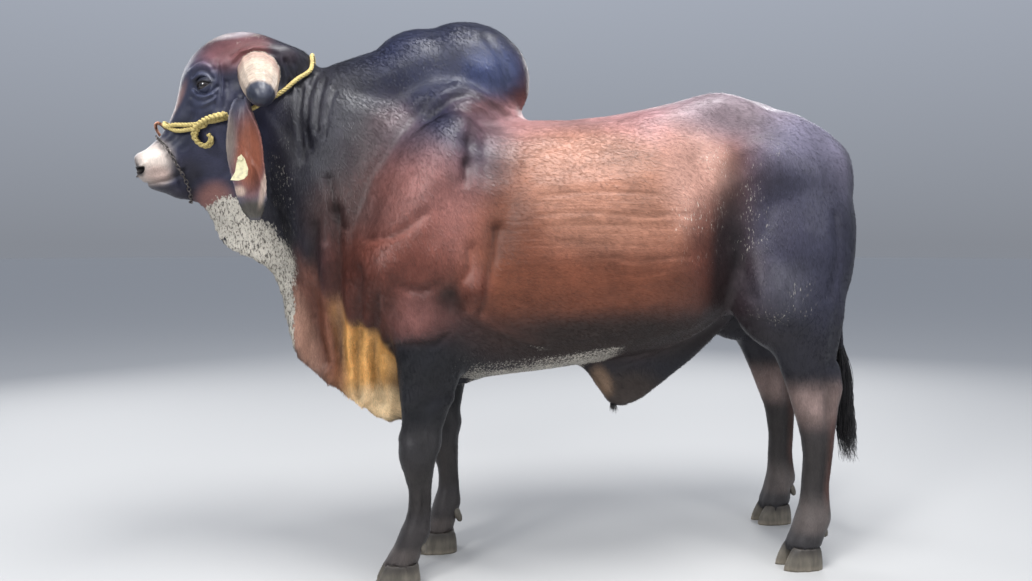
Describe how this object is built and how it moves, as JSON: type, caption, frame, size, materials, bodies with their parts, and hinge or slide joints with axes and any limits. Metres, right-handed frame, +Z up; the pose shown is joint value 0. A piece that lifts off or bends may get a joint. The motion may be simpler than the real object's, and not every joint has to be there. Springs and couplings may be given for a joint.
{
  "type": "gyr cattle",
  "caption": "Life-size still Gyr bull standing square in a rope halter: domed head, long folded ears, stub horns, high hump, hanging dewlap, sheath and tasselled tail.",
  "frame": {"origin": "on the ground under the middle of the whole model, with the soles at z = 0", "axes": "+X towards the tail (the bull faces -X), +Y towards its right side, +Z up"},
  "size_m": [2.2174, 0.7032, 1.6188],
  "materials": {
    "hide": "short glossy coat",
    "horn": "dull horn",
    "hoof": "dull hoof horn",
    "eye": "wet and glossy",
    "hair": "coarse hair",
    "rope": "twisted rope",
    "ring_metal": "worn, coppery",
    "chain_metal": "dull, slightly rusty",
    "tag_plastic": "faded and blank"
  },
  "bodies": {
    "root": {"head": "hide", "neck": "hide", "dewlap": "hide", "hump": "hide", "torso": "hide", "sheath": "hide", "scrotum": "hide", "tail": "hide", "ear_left": "hide", "ear_right": "hide", "leg_front_left": "hide", "leg_front_right": "hide", "leg_hind_left": "hide", "leg_hind_right": "hide", "front_left_claw_inner": "hoof", "front_left_claw_outer": "hoof", "front_left_dewclaw_inner": "hoof", "front_left_dewclaw_outer": "hoof", "front_right_claw_inner": "hoof", "front_right_claw_outer": "hoof", "front_right_dewclaw_inner": "hoof", "front_right_dewclaw_outer": "hoof", "hind_left_claw_inner": "hoof", "hind_left_claw_outer": "hoof", "hind_left_dewclaw_inner": "hoof", "hind_left_dewclaw_outer": "hoof", "hind_right_claw_inner": "hoof", "hind_right_claw_outer": "hoof", "hind_right_dewclaw_inner": "hoof", "hind_right_dewclaw_outer": "hoof", "horn_left": "horn", "horn_right": "horn", "eye_left": "eye", "eye_right": "eye", "tail_switch": "hair", "halter_rope": "rope", "nose_ring": "ring_metal", "chin_chain": "chain_metal", "ear_tag": "tag_plastic"}
  },
  "joints": []
}
